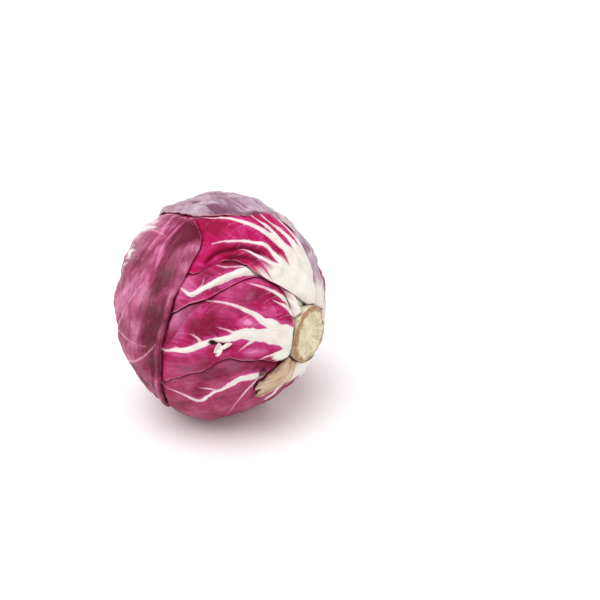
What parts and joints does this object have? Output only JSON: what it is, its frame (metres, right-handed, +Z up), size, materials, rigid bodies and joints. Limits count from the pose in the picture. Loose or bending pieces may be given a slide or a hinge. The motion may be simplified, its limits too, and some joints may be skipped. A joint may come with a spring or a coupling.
{
  "type": "radicchio head",
  "caption": "Whole round head of red radicchio lying on its side, leaves wrapped over one another round a conical stem and pressed flat where it rests.",
  "frame": {"origin": "on the surface that the head rests on, under the middle of its box", "axes": "+Z up, +X along the stem towards its cut end, -Y towards the side with the folded leaf"},
  "size_m": [0.103, 0.1138, 0.1108],
  "materials": {
    "plum_leaf": "dusty plum leaf with thin pink veins and a dull bloom",
    "silver_leaf": "grey lavender leaf, wrinkled and slightly dry",
    "magenta_leaf": "magenta leaf with white ribs, soft highlights and patches of bloom",
    "inner_leaf": "moist crimson leaf with white ribs",
    "heart": "pale pink bud of furled leaves",
    "stem": "firm ivory stem, its cut face lightly browned",
    "dry_leaf_base": "dry tan leaf foot with torn fibres"
  },
  "bodies": {
    "root": {"outer_leaf_under": "plum_leaf", "outer_leaf_rear": "plum_leaf", "outer_leaf_top": "silver_leaf", "outer_leaf_tip": "plum_leaf", "outer_leaf_crown": "magenta_leaf", "outer_leaf_folded": "magenta_leaf", "outer_leaf_front": "magenta_leaf", "outer_leaf_low": "magenta_leaf", "outer_leaf_far": "magenta_leaf", "outer_leaf_hidden": "magenta_leaf", "torn_leaf_base": "dry_leaf_base", "inner_leaf_01": "inner_leaf", "inner_leaf_02": "inner_leaf", "inner_leaf_03": "inner_leaf", "inner_leaf_04": "inner_leaf", "inner_leaf_05": "inner_leaf", "inner_leaf_06": "inner_leaf", "inner_leaf_07": "inner_leaf", "inner_leaf_08": "inner_leaf", "inner_leaf_09": "inner_leaf", "inner_leaf_10": "inner_leaf", "inner_leaf_11": "inner_leaf", "inner_leaf_12": "inner_leaf", "inner_leaf_13": "inner_leaf", "inner_leaf_14": "inner_leaf", "inner_leaf_15": "inner_leaf", "inner_leaf_16": "inner_leaf", "heart_bud": "heart", "stem_core": "stem"}
  },
  "joints": []
}
